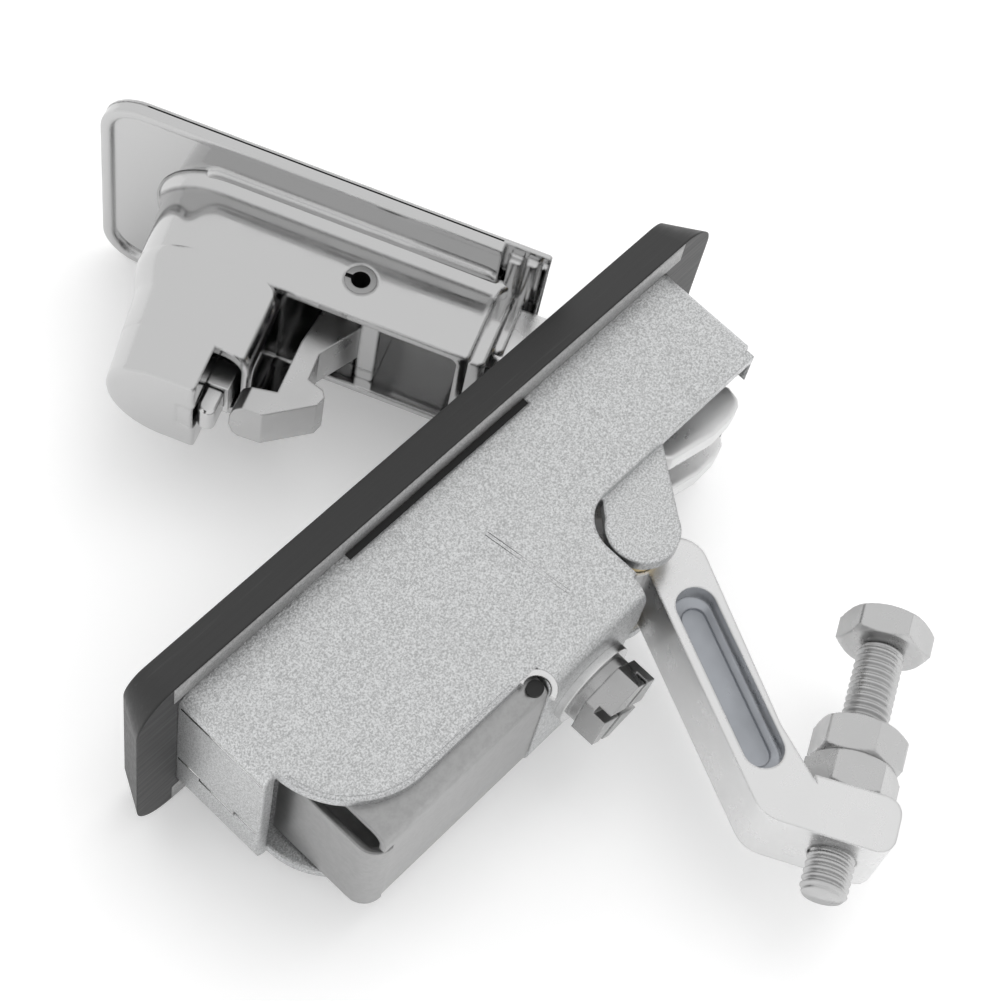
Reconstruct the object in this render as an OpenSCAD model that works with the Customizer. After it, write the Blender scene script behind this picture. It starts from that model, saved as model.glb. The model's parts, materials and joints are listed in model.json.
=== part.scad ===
/* [Bezel] */
// Length of the black flange along the door
bezel_len = 133; // [120:1:160]
// Width of the flange
bezel_w = 47; // [44:1:60]
// Thickness of the flange in front of the panel
bezel_t = 7; // [5:0.5:9]
// How much smaller the front face is on each side
bezel_bevel = 3.8; // [2:0.1:4.5]
// Corner radius at the panel
bezel_r = 8; // [6:0.5:12]
// Half width of the window for the handle
window_half_w = 13.3; // [13:0.1:14]
// Height of the collar inside the bracket
collar_h = 5; // [3:0.5:6]
// Depth of the bracket's seat in the back of the flange
seat_sink = 0.6; // [0.4:0.1:1]

/* [Bracket] */
// Outside width of the zinc bracket
bracket_w = 36; // [35:0.5:40]
// Sheet thickness
sheet_t = 2.2; // [1.8:0.1:2.4]
// Depth of the back wall from the panel
back_y = 38; // [38:0.5:42]
// Free edge of the side wall over the deep box
free_y = 34.3; // [33:0.1:35]
// Large corner radius of the side wall
wall_r = 16; // [12:0.5:18]
// Height of the end tab
tab_y = 18.8; // [16:0.1:20]
// Depth of the narrow part over the hinge
narrow_y = 21.1; // [20:0.1:22]
// Outer bend radius of the back wall
bend_r = 4.5; // [3:0.1:6]

/* [Deep box] */
// Outer end of the deep box from the centre
box_end_x = 52.4; // [51:0.1:53]
// Sheet thickness of the deep box
box_t = 1.2; // [1:0.1:1.2]
// Front edge of the deep box
box_y0 = 17; // [16.5:0.5:18]
// Corner radius of the deep box
box_r = 3.7; // [3:0.1:4.5]

/* [Pivots] */
// Handle hinge, distance from the centre along the flange
hinge_x = -30.25; // [-30.5:0.05:-30]
// Handle hinge, depth from the panel
hinge_y = 6.95; // [6.8:0.05:7.1]
// Arm pivot, distance from the centre along the flange
pivot_x = -17.3; // [-18:0.1:-16.5]
// Arm pivot, depth from the panel
pivot_y = 29.2; // [28.5:0.1:29.5]
// Cheek plate thickness
cheek_t = 2.5; // [2:0.1:3]
// Radius of the cheek ear
ear_r = 6.3; // [6:0.1:7]
// Diameter of the two pivot pins
pivot_d = 5; // [4:0.1:5.5]
// Crank length of the drive link
crank = 8; // [7.6:0.1:8.2]
// Diameter of the link pins
link_pin_d = 3; // [2.5:0.1:3.2]

/* [Handle] */
// Length of the handle plate
plate_len = 80.4; // [78:0.1:82]
// Width of the handle plate
plate_w = 48; // [47:0.5:52]
// Thickness of the handle plate
plate_t = 3.1; // [2.5:0.1:4]
// Width of the hollow handle body
body_w = 25.2; // [24:0.1:26]
// Height of the hollow handle body
body_h = 15; // [13:0.5:15]
// Height of the lock nose
nose_h = 37.7; // [36:0.1:38]
// End radius of the lock nose
nose_r = 10.3; // [10:0.1:10.5]
// Opening angle of the handle as drawn
open_deg = 66.6; // [60:0.1:67]
// Diameter of the hook pin
hook_pin_d = 5.5; // [4.5:0.1:6]

/* [Arm and bolt] */
// Distance from the arm pivot to the bend corner along the arm
arm_along = 49.4; // [47:0.1:54]
// Width of the arm across the pivot axis
arm_w = 9.3; // [8.5:0.1:10]
// Thickness of the arm along the pivot axis
arm_t = 16; // [14:0.5:16]
// Length of the foot from the bend corner
foot_len = 21.6; // [20:0.1:26]
// Bolt axis from the bend corner
bolt_at = 13.4; // [12:0.1:14]
// Thickness of the foot
foot_t = 9.8; // [8:0.1:12]
// Thread diameter of the adjusting bolt
bolt_d = 8; // [6:1:8]
// Length of the adjusting bolt
bolt_len = 45; // [40:1:60]
// Thread sticking out behind the foot
bolt_out = 6.9; // [4:0.1:10]
// Width across flats of the hexagons
hex_af = 14; // [13:0.5:14.5]
// Height of each nut
nut_h = 6.5; // [5:0.1:7]
// Height of the bolt head
head_h = 5.3; // [4:0.1:6]

/* [Back screw] */
// Back screw, distance from the centre along the flange
screw_x = 2.2; // [1.5:0.1:2.8]
// Across flats of the back screw head
screw_af = 13; // [12:0.5:14]
// Height of the back screw head
screw_head_h = 4.6; // [4:0.1:6]
// Outer diameter of the flat washer
washer_d = 16; // [15:0.5:18]

/* [Clearances] */
// Running clearance on radius at the pivots
run_fit = 0.05; // [0.03:0.01:0.1]
// Side gap between moving faces
side_gap = 0.3; // [0.3:0.05:0.4]

/* [Hidden] */
$fn = 48;
half_len = bezel_len / 2;
half_w = bezel_w / 2;
bw = bracket_w / 2;
bwi = bw - sheet_t;
tab_x = half_len - 8.7;
end_x = -half_len + 10.6;
wall_cx = tab_x - 2.4 - wall_r;
wall_cy = free_y - wall_r;
back_x0 = -8.7;
back_x1 = 14;
seat_y = back_y - sheet_t;
cheek_in = bwi - cheek_t;
pin_half = cheek_in + cheek_t - 0.9;
lug_in = 5;
lug_out = 9.5;
link_half = 2.5;
arm_half = arm_t / 2;
crank_deg = -30 - open_deg / 2;
crank_dx = crank * cos(crank_deg);
crank_dy = crank * sin(crank_deg);
arm_deg = 24;
foot_deg = 141.2;
corner_r = 6;
corner_at = corner_r / tan((270 - foot_deg) / 2);
window_x0 = end_x + 9.5;
window_x1 = tab_x - 1.8;
collar_out = bwi - 0.3;
plate_x0 = 14.8;
plate_y = -bezel_t - hinge_y;

module rrect(x0, x1, y0, y1, r) {
  translate([x0 + r, y0]) square([x1 - x0 - 2 * r, y1 - y0]);
  translate([x0, y0 + r]) square([x1 - x0, y1 - y0 - 2 * r]);
  for (x = [x0 + r, x1 - r])
    for (y = [y0 + r, y1 - r])
      translate([x, y]) circle(r);
}

module slab(z0, z1) {
  translate([0, 0, z0]) linear_extrude(z1 - z0) children();
}

module along_y(y0, y1) {
  translate([0, y0, 0]) rotate([-90, 0, 0]) linear_extrude(y1 - y0) mirror([0, 1]) children();
}

module along_x(x0, x1) {
  translate([x0, 0, 0]) rotate([90, 0, 90]) linear_extrude(x1 - x0) children();
}

module rod(x, y, r, z0, z1) {
  translate([x, y, z0]) cylinder(r = r, h = z1 - z0);
}

module ring(x, y, ro, ri, z0, z1) {
  difference() {
    rod(x, y, ro, z0, z1);
    rod(x, y, ri, z0 - 1, z1 + 1);
  }
}

module bevel_plate() {
  cx = half_len - bezel_r;
  cz = half_w - bezel_r;
  for (x = [-cx, cx])
    for (z = [-cz, cz])
      translate([x, -bezel_t, z]) rotate([-90, 0, 0])
        cylinder(r1 = bezel_r - bezel_bevel, r2 = bezel_r, h = bezel_t);
  slab(-cz, cz) polygon([[-half_len, 0], [half_len, 0],
    [half_len - bezel_bevel, -bezel_t], [-half_len + bezel_bevel, -bezel_t]]);
  along_x(-cx, cx) polygon([[0, -half_w], [0, half_w],
    [-bezel_t, half_w - bezel_bevel], [-bezel_t, -half_w + bezel_bevel]]);
}

module bezel() {
  color([0.05, 0.05, 0.055]) difference() {
    union() {
      difference() {
        bevel_plate();
        along_y(-seat_sink, 0.3) rrect(end_x - 0.1, tab_x + 0.1, -bw - 0.1, bw + 0.1, 3.1);
      }
      along_y(-1, collar_h)
        rrect(-12.5, tab_x - sheet_t - 0.3, -collar_out, collar_out, 3);
      along_y(-1, 14)
        rrect(-6, 9.5, -collar_out, collar_out, 1);
      translate([screw_x, 12, 0]) rotate([-90, 0, 0]) cylinder(r = 6.5, h = seat_y - 12);
    }
    along_y(-bezel_t - 1, 9)
      rrect(window_x0, window_x1, -window_half_w, window_half_w, 4);
    along_y(-bezel_t - 1, 9)
      rrect(end_x + 0.5, -30, -lug_out - 0.6, lug_out + 0.6, 1);
    along_y(-bezel_t - 1, -bezel_t + 1.8)
      rrect(hinge_x + plate_x0 + 1.4, hinge_x + plate_x0 + 61.6, -15.8, 15.8, 3);
    translate([screw_x, seat_y - 16, 0]) rotate([-90, 0, 0]) cylinder(r = bolt_d / 2 + run_fit, h = 20);
  }
}

module wall_profile() {
  translate([end_x, -1]) square([tab_x - end_x, tab_y + 0.9]);
  translate([end_x + 2, 0]) square([tab_x - end_x - 4.4, wall_cy]);
  translate([wall_cx, wall_cy]) circle(wall_r);
  translate([back_x0 - 0.8, 0]) square([wall_cx - back_x0 + 0.8, free_y]);
  translate([back_x0, 0]) square([back_x1 - back_x0, back_y]);
  translate([end_x + 2, 0]) square([back_x0 - end_x, narrow_y]);
  difference() {
    translate([back_x0 - 7.8, 0]) square([7.5, 28.6]);
    translate([back_x0 - 7.8, 28.1]) circle(7);
    translate([back_x0 - 9, 28.1]) square([8.2, 2]);
  }
}

module plan_ring_outer(x0, x1, hw, r, y1) {
  along_y(-0.01, y1) rrect(x0, x1, -hw, hw, r);
}

module u_section(hw, y1, r) {
  translate([-5, -hw]) square([y1 + 5 - r, 2 * hw]);
  translate([-5, -hw + r]) square([y1 + 5, 2 * (hw - r)]);
  for (s = [-1, 1])
    translate([y1 - r, s * (hw - r)]) circle(r);
}

module outer_bracket() {
  color([0.72, 0.73, 0.75]) difference() {
    intersection() {
      along_y(-seat_sink, back_y) rrect(end_x, tab_x, -bw, bw, 3);
      along_x(end_x, tab_x) u_section(bw, back_y, bend_r);
      slab(-bw, bw) wall_profile();
    }
    intersection() {
      along_y(-1, seat_y) rrect(end_x + sheet_t, tab_x - sheet_t, -bwi, bwi, 0.9);
      along_x(end_x, tab_x) u_section(bwi, seat_y, bend_r - sheet_t);
    }
    translate([back_x0 - 9.2, 20, 0]) rotate([-90, 0, 0]) cylinder(r = 11.2, h = 30);
    translate([back_x1 + 2.5, free_y + 2.6, -bw - 1]) cylinder(r = 2.5, h = bracket_w + 2);
    translate([screw_x, 30, 0]) rotate([-90, 0, 0]) cylinder(r = 4.4, h = 20);
    for (s = [-1, 1])
      translate([1.4, 0, s * bw]) cube([41.5, 2.6, 0.8], center = true);
    translate([end_x - 1, -1.5, -lug_out - 0.5]) cube([sheet_t + 1.5, 33, 2 * lug_out + 1]);
  }
}

module deep_box() {
  color([0.5, 0.51, 0.52]) difference() {
    intersection() {
      along_y(box_y0, back_y - 0.2) rrect(back_x1 - 2, box_end_x, -bwi, bwi, box_r);
      along_x(back_x1 - 2.3, box_end_x) u_section(bwi, back_y - 0.2, 2.6);
      union() {
        slab(-bwi, bwi) translate([back_x1 - 2.3, box_y0]) square([6.8, seat_y - box_y0]);
        slab(-bwi, bwi) translate([back_x1 + 0.3, box_y0]) square([60, 40]);
      }
    }
    intersection() {
      along_y(box_y0 - 1, back_y - 0.2 - box_t)
        rrect(back_x1 - 12, box_end_x - box_t, -bwi + box_t, bwi - box_t, box_r - box_t);
      along_x(back_x1 - 12, box_end_x) u_section(bwi - box_t, back_y - 0.2 - box_t, 1);
    }
    translate([-40, 0, -30]) cube([back_x1 + 40.3, 60, 60]);
  }
}

module cheek(z0, z1, inner) {
  difference() {
    union() {
      rod(pivot_x, pivot_y, ear_r, z0, z1);
      slab(z0, z1) polygon([[pivot_x + 6.1, pivot_y - 2], [pivot_x + 1.1, pivot_y - 8], [-13, 17],
        [-13, 1.5], [-46, 1.5], [-46, 15], [-31.4, 20.8], [pivot_x - 4.6, pivot_y + 4.2]]);
    }
    rod(hinge_x, hinge_y, pivot_d / 2, inner - 1.6, inner + 1.6);
    rod(pivot_x, pivot_y, pivot_d / 2, inner - 1.6, inner + 1.6);
  }
}

module cheek_near() {
  color([0.74, 0.75, 0.77]) cheek(cheek_in, bwi, cheek_in);
}

module cheek_far() {
  color([0.74, 0.75, 0.77]) cheek(-bwi, -cheek_in, -cheek_in);
}

module catch_plate() {
  color([0.6, 0.61, 0.62]) difference() {
    union() {
      translate([screw_x - 3, 14, -8]) cube([12.8, 1.9, 16]);
      translate([screw_x + 7.3, 14, -8]) cube([2.5, 5.6, 16]);
    }
    translate([screw_x, 10, 0]) rotate([-90, 0, 0]) cylinder(r = 6.5, h = 12);
  }
}

module back_screw() {
  y0 = back_y + 1.5 + 1.9;
  color([0.62, 0.63, 0.65]) difference() {
    union() {
      translate([screw_x, y0 - 16, 0]) rotate([-90, 0, 0]) cylinder(r = bolt_d / 2, h = 16.01);
      translate([screw_x, y0, 0]) rotate([-90, 15, 0])
        cylinder(r = screw_af / sqrt(3), h = screw_head_h, $fn = 6);
    }
    for (a = [45, 135])
      translate([screw_x, y0 + screw_head_h, 0]) rotate([0, a, 0]) cube([1.6, 5, 20], center = true);
  }
}

module flat_washer() {
  color([0.75, 0.76, 0.78]) translate([screw_x, back_y, 0]) rotate([-90, 0, 0]) difference() {
    cylinder(d = washer_d, h = 1.5);
    translate([0, 0, -1]) cylinder(r = 4.2, h = 4);
  }
}

module spring_washer() {
  color([0.6, 0.61, 0.63]) translate([screw_x, back_y + 1.5, 0]) rotate([-90, 0, 0]) difference() {
    cylinder(d = 13, h = 1.9);
    translate([0, 0, -1]) cylinder(r = 4.2, h = 4);
    rotate([0, 0, 200]) translate([3, -0.5, -1]) cube([6, 1, 4]);
  }
}

module handle_hinge_pin() {
  color([0.6, 0.6, 0.62]) rod(hinge_x, hinge_y, pivot_d / 2, -cheek_in - 1.6, cheek_in + 1.6);
}

module arm_pivot_pin() {
  color([0.6, 0.6, 0.62]) rod(pivot_x, pivot_y, pivot_d / 2, -cheek_in - 1.6, cheek_in + 1.6);
}

module hinge_bush_near() {
  color([0.7, 0.6, 0.35])
    ring(hinge_x, hinge_y, 4.5, pivot_d / 2 + run_fit, lug_out + side_gap, cheek_in);
}

module hinge_bush_far() {
  color([0.7, 0.6, 0.35])
    ring(hinge_x, hinge_y, 4.5, pivot_d / 2 + run_fit, -cheek_in, -lug_out - side_gap);
}

module arm_bush_near() {
  color([0.7, 0.6, 0.35])
    ring(pivot_x, pivot_y, 4.3, pivot_d / 2 + run_fit, arm_half + side_gap, cheek_in);
}

module arm_bush_far() {
  color([0.7, 0.6, 0.35])
    ring(pivot_x, pivot_y, 4.3, pivot_d / 2 + run_fit, -cheek_in, -arm_half - side_gap);
}

module in_handle() {
  translate([hinge_x, hinge_y, 0]) rotate([0, 0, -open_deg]) children();
}

module lug_profile() {
  circle(6.5);
  polygon([[-20.4, plate_y], [-22.4, plate_y + 1.5], [-23, plate_y + 2.8], [-22.6, -8.6],
    [-20.9, -4.2], [-15.8, 3.2], [-9, 6], [0, 6.4], [6.2, 1.9], [19, -3], [19, plate_y]]);
}

module handle_bar() {
  along_y(plate_y - plate_t, plate_y)
    rrect(plate_x0, plate_x0 + plate_len, -plate_w / 2, plate_w / 2, 8);
  translate([plate_x0, plate_y - plate_t, -plate_w / 2]) cube([12, plate_t, plate_w]);
  along_y(plate_y - 1, plate_y + 1.4)
    rrect(plate_x0 + 2, plate_x0 + 61, -15.4, 15.4, 3);
}

module handle() {
  nx = plate_x0 + 52.8;
  color([0.66, 0.67, 0.69]) in_handle() difference() {
    union() {
      difference() {
        handle_bar();
        along_y(plate_y - 0.9, plate_y + 0.01) difference() {
          rrect(plate_x0 + 4, plate_x0 + plate_len - 2.2, -plate_w / 2 + 2.2, plate_w / 2 - 2.2, 6);
          rrect(plate_x0 + 2, plate_x0 + 61, -15.4, 15.4, 3);
        }
      }
      along_y(plate_y, plate_y + body_h)
        rrect(plate_x0 + 4, plate_x0 + 55, -body_w / 2, body_w / 2, 2);
      intersection() {
        translate([nx, plate_y + nose_h, 0]) rotate([0, 0, 4.8]) rotate([90, 0, 0])
          translate([0, 0, -3]) cylinder(r1 = nose_r - 0.16, r2 = nose_r + 2, h = nose_h + 7);
        translate([nx - 30, plate_y - 1, -30]) cube([60, nose_h + 1, 60]);
      }
      for (s = [-1, 1])
        slab(s > 0 ? lug_in : -lug_out, s > 0 ? lug_out : -lug_in) lug_profile();
      slab(-lug_out, lug_out) polygon([[-17.8, -1.2], [-15.8, 3.2], [-9, 6], [-8, 3], [-14.5, -2.5]]);
      slab(-lug_out, lug_out) polygon([[11, plate_y], [19, plate_y], [19, -9], [13, -11]]);
      for (s = [-1, 1])
        rod(crank_cx, crank_cy, 3.2, s > 0 ? link_half + side_gap : -lug_in,
          s > 0 ? lug_in : -link_half - side_gap);
    }
    translate([plate_x0 + 8, plate_y + 2, -body_w / 2 + 2])
      cube([38.5, body_h, body_w - 4]);
    translate([plate_x0 + 38.5, plate_y + 2, -20]) cube([8.4, 40, 40]);
    translate([plate_x0 + 20, plate_y + body_h + 3, -20]) cube([27.4, 40, 40]);
    translate([nx + 1, plate_y - plate_t - 1, 0]) rotate([-90, 0, 0]) cylinder(r = 6, h = 60);
    translate([nx + 1, plate_y + 22, 0]) rotate([-90, 0, 0]) cylinder(r = 8.4, h = 40);
    translate([plate_x0 + 40, plate_y + 24, -5]) cube([14, 20, 10]);
    rod(plate_x0 + 29.3, plate_y + 8, hook_pin_d / 2, -20, 20);
    rod(0, 0, pivot_d / 2 + run_fit, -20, 20);
    rod(crank_cx, crank_cy, link_pin_d / 2, -20, 20);
  }
}

crank_cx = crank * cos(-30 + open_deg / 2);
crank_cy = crank * sin(-30 + open_deg / 2);

module hook_pin() {
  color([0.6, 0.6, 0.62]) in_handle() difference() {
    rod(plate_x0 + 29.3, plate_y + 8, hook_pin_d / 2, -body_w / 2, body_w / 2);
    rod(plate_x0 + 29.3, plate_y + 8, hook_pin_d / 2 - 1.1, -body_w / 2 - 1, body_w / 2 + 1);
    translate([plate_x0 + 29.3, plate_y + 7.6, -20]) cube([5, 0.8, 40]);
  }
}

module hook_lever() {
  px = plate_x0 + 29.3;
  py = plate_y + 8;
  color([0.6, 0.61, 0.63]) in_handle() difference() {
    union() {
      rod(px, py, 4.6, -5, 5);
      slab(-5, 5) polygon([[px - 4.2, py + 1], [px + 2.7, py + 20.2], [px - 1.9, py + 20.2],
        [px - 1.9, py + 22], [px + 2, py + 28], [px + 11, py + 29], [px + 12.5, py + 26],
        [px + 12.5, py + 21], [px + 6.7, py + 20.2], [px + 4.2, py + 1]]);
    }
    rod(px, py, hook_pin_d / 2 + run_fit, -20, 20);
  }
}

module lock_cylinder() {
  nx = plate_x0 + 54.5;
  color([0.55, 0.56, 0.58]) in_handle() difference() {
    translate([nx, plate_y - plate_t, 0]) rotate([-90, 0, 0]) cylinder(r = 6, h = 30);
    translate([nx, plate_y - plate_t - 1, 0]) rotate([-90, 0, 0]) cylinder(r = 4 + run_fit, h = 40);
  }
}

module lock_plug() {
  nx = plate_x0 + 54.5;
  color([0.7, 0.7, 0.72]) in_handle() difference() {
    translate([nx, plate_y - plate_t, 0]) rotate([-90, 0, 0]) cylinder(r = 4, h = 30);
    translate([nx - 0.5, plate_y - plate_t - 1, -3]) cube([1, 15, 6]);
  }
}

module lock_bolt() {
  color([0.55, 0.56, 0.58]) in_handle()
    translate([plate_x0 + 43, plate_y + 27.2, -4]) cube([12, 5, 8]);
}

module drive_link() {
  x1 = hinge_x + crank_dx;
  y1 = hinge_y + crank_dy;
  x2 = pivot_x + crank_dx;
  y2 = pivot_y + crank_dy;
  span = norm([x2 - x1, y2 - y1]);
  color([0.62, 0.63, 0.65]) translate([x1, y1, 0])
    rotate([0, 0, atan2(y2 - y1, x2 - x1)]) difference() {
      slab(-link_half, link_half) {
        circle(3);
        translate([span, 0]) circle(3);
        translate([0, -2.4]) square([span, 4.8]);
      }
      rod(0, 0, link_pin_d / 2 + run_fit, -5, 5);
      rod(span, 0, link_pin_d / 2 + run_fit, -5, 5);
    }
}

module link_pin_handle() {
  color([0.6, 0.6, 0.62])
    rod(hinge_x + crank_dx, hinge_y + crank_dy, link_pin_d / 2, -lug_out, lug_out);
}

module link_pin_arm() {
  color([0.6, 0.6, 0.62])
    rod(pivot_x + crank_dx, pivot_y + crank_dy, link_pin_d / 2, -arm_half, arm_half);
}

module at_arm() {
  translate([pivot_x, pivot_y, 0]) children();
}

module at_bend() {
  at_arm() rotate([0, 0, -arm_deg]) translate([-0.3, arm_along, 0]) children();
}

function arc(cx, cy, r, a0, a1, n) =
  [for (i = [0:n]) [cx + r * cos(a0 + (a1 - a0) * i / n), cy + r * sin(a0 + (a1 - a0) * i / n)]];

function on_foot(a, b) =
  [a * cos(foot_deg) - b * sin(foot_deg), a * sin(foot_deg) + b * cos(foot_deg)];

module arm_bar() {
  fx = foot_len - 3;
  polygon(concat(arc(-5.2, -44.2, 5.2, 0, -180, 14),
    [[-arm_w - 0.2, -13], [-arm_w - 1.4, -1.6], on_foot(6.6, foot_t - 0.3)],
    [for (q = arc(fx, foot_t - 3, 3, 90, 0, 6)) on_foot(q[0], q[1])],
    [for (q = arc(fx, 3, 3, 0, -90, 6)) on_foot(q[0], q[1])],
    arc(-corner_r, -corner_at, corner_r, foot_deg - 90, 0, 6)));
}

module arm() {
  h = arm_half;
  color([0.78, 0.79, 0.8]) difference() {
    union() {
      at_arm() slab(-h, h) polygon(concat(arc(0, 0, 4.9, 150, 45, 6), [[4.9, 0]],
        arc(crank_dx, crank_dy, 3.3, 0, -130, 8), [[-4.6, -1.5]]));
      at_bend() slab(-h, h) polygon([[-4, -43], [-4.3, -arm_along + 2], [-1, -arm_along + 1],
        [-0.6, -42.5]]);
      at_bend() slab(-h, h) arm_bar();
    }
    at_pocket(1);
    at_pocket(-1);
    rod(pivot_x, pivot_y, pivot_d / 2 + run_fit, -20, 20);
    rod(pivot_x + crank_dx, pivot_y + crank_dy, link_pin_d / 2, -20, 20);
    translate([pivot_x - 20, pivot_y - 23, -link_half - side_gap])
      cube([40, 20, 2 * (link_half + side_gap)]);
    at_bolt() translate([0, 0, -1]) cylinder(r = bolt_d / 2 + run_fit, h = foot_t + 2);
  }
}

module at_pocket(s) {
  z0 = s > 0 ? 2 : -arm_half - 1;
  at_bend() translate([0, 0, z0]) linear_extrude(arm_half - 1) {
    translate([-5.1, -10.3]) circle(3.5);
    translate([-5.1, -36.5]) circle(3.5);
    translate([-8.6, -36.5]) square([7, 26.2]);
  }
}

module at_bolt() {
  at_bend() rotate([0, 0, foot_deg]) translate([bolt_at, 0, 0]) rotate([-90, 0, 0]) children();
}

module adjusting_bolt() {
  color([0.8, 0.81, 0.82]) at_bolt() {
    translate([0, 0, -bolt_out]) cylinder(d = bolt_d, h = bolt_len);
    translate([0, 0, bolt_len - bolt_out]) rotate([0, 0, 12])
      cylinder(r = hex_af / sqrt(3), h = head_h, $fn = 6);
  }
}

module nut(z, a) {
  at_bolt() translate([0, 0, z]) rotate([0, 0, a]) difference() {
    cylinder(r = hex_af / sqrt(3), h = nut_h, $fn = 6);
    translate([0, 0, -1]) cylinder(d = bolt_d, h = nut_h + 2);
  }
}

module upper_nut() {
  color([0.8, 0.81, 0.82]) nut(foot_t + nut_h, 20);
}

module lower_nut() {
  color([0.8, 0.81, 0.82]) nut(foot_t, 0);
}

bezel();
outer_bracket();
deep_box();
cheek_near();
cheek_far();
catch_plate();
back_screw();
flat_washer();
spring_washer();
handle_hinge_pin();
hinge_bush_near();
hinge_bush_far();
arm_pivot_pin();
arm_bush_near();
arm_bush_far();
handle();
hook_pin();
hook_lever();
lock_cylinder();
lock_plug();
lock_bolt();
drive_link();
link_pin_handle();
link_pin_arm();
arm();
adjusting_bolt();
upper_nut();
lower_nut();
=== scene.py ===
import json
import math

import bpy
import bmesh
from mathutils import Matrix, Vector


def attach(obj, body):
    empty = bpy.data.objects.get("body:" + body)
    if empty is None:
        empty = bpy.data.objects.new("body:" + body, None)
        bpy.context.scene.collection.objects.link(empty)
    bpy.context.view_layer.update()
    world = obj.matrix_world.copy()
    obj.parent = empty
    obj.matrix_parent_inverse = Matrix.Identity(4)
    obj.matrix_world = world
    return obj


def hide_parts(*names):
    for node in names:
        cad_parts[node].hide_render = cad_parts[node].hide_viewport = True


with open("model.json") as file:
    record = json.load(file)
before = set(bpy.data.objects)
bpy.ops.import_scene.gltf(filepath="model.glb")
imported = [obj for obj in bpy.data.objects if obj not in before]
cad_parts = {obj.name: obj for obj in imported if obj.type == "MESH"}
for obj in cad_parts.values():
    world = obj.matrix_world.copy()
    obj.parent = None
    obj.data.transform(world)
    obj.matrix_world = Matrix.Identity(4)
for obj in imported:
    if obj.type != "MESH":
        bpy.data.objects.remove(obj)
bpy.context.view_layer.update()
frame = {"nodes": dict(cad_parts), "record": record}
MM = 0.001


# Node helpers

def new_mat(name):
    mat = bpy.data.materials.new(name)
    mat.use_nodes = True
    nt = mat.node_tree
    nt.nodes.clear()
    out = nt.nodes.new("ShaderNodeOutputMaterial")
    bsdf = nt.nodes.new("ShaderNodeBsdfPrincipled")
    nt.links.new(bsdf.outputs["BSDF"], out.inputs["Surface"])
    return mat, nt, bsdf


def add(nt, kind, **values):
    """A node with its inputs, or else its own settings, set by name."""
    node = nt.nodes.new(kind)
    for key, value in values.items():
        if key in node.inputs:
            node.inputs[key].default_value = value
        else:
            setattr(node, key, value)
    return node


def noise(nt, coord, scale, detail, rough, stretch=None):
    source = coord.outputs["Object"]
    if stretch:
        mapping = add(nt, "ShaderNodeMapping")
        mapping.inputs["Scale"].default_value = stretch
        nt.links.new(source, mapping.inputs["Vector"])
        source = mapping.outputs["Vector"]
    node = add(nt, "ShaderNodeTexNoise", Scale=scale, Detail=detail, Roughness=rough)
    nt.links.new(source, node.inputs["Vector"])
    return node.outputs["Fac"]


def ramp(nt, source, stops):
    node = nt.nodes.new("ShaderNodeValToRGB")
    elements = node.color_ramp.elements
    elements[0].position, elements[0].color = stops[0]
    elements[1].position, elements[1].color = stops[-1]
    for position, colour in stops[1:-1]:
        elements.new(position).color = colour
    nt.links.new(source, node.inputs["Fac"])
    return node.outputs["Color"]


def grey(value):
    return (value, value, value, 1.0)


# Materials

BEVEL_SAMPLES = 4
SPECKLE_FROM, SPECKLE_TO = 0.36, 0.62
MOTTLE_SCALE = 160.0
GRAIN_DEPTH = 0.00012
STREAK_DEPTH = 0.0001


def soft_edges(nt, radius):
    bevel = add(nt, "ShaderNodeBevel", Radius=radius)
    bevel.samples = BEVEL_SAMPLES
    return bevel.outputs["Normal"]


def metal(name, base, rough, speckle=0.0, speckle_scale=900.0, bump=0.0, bump_scale=1500.0,
          bevel=0.0, tint=(1, 1, 1), mottle=0.0, metallic=1.0):
    """A plated metal: speckled colour, mottled gloss, grain and edges rounded by shading."""
    mat, nt, bsdf = new_mat(name)
    coord = add(nt, "ShaderNodeTexCoord")
    bsdf.inputs["Metallic"].default_value = metallic
    if speckle:
        low = [max(0.0, base * (1 - speckle)) * t for t in tint] + [1]
        high = [min(1.0, base * (1 + speckle * 0.6)) * t for t in tint] + [1]
        spots = noise(nt, coord, speckle_scale, 2.0, 0.75)
        colour = ramp(nt, spots, [(SPECKLE_FROM, low), (SPECKLE_TO, high)])
        nt.links.new(colour, bsdf.inputs["Base Color"])
    else:
        bsdf.inputs["Base Color"].default_value = [base * t for t in tint] + [1]
    if mottle:
        clouds = noise(nt, coord, MOTTLE_SCALE, 4.0, 0.6)
        smooth, dull = max(0.03, rough - mottle), min(1.0, rough + mottle)
        gloss = ramp(nt, clouds, [(0.35, grey(smooth)), (0.65, grey(dull))])
        nt.links.new(gloss, bsdf.inputs["Roughness"])
    else:
        bsdf.inputs["Roughness"].default_value = rough
    normal = soft_edges(nt, bevel) if bevel else None
    if bump:
        node = add(nt, "ShaderNodeBump", Strength=bump, Distance=GRAIN_DEPTH)
        nt.links.new(noise(nt, coord, bump_scale, 2.0, 0.7), node.inputs["Height"])
        if normal:
            nt.links.new(normal, node.inputs["Normal"])
        normal = node.outputs["Normal"]
    if normal:
        nt.links.new(normal, bsdf.inputs["Normal"])
    return mat


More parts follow.
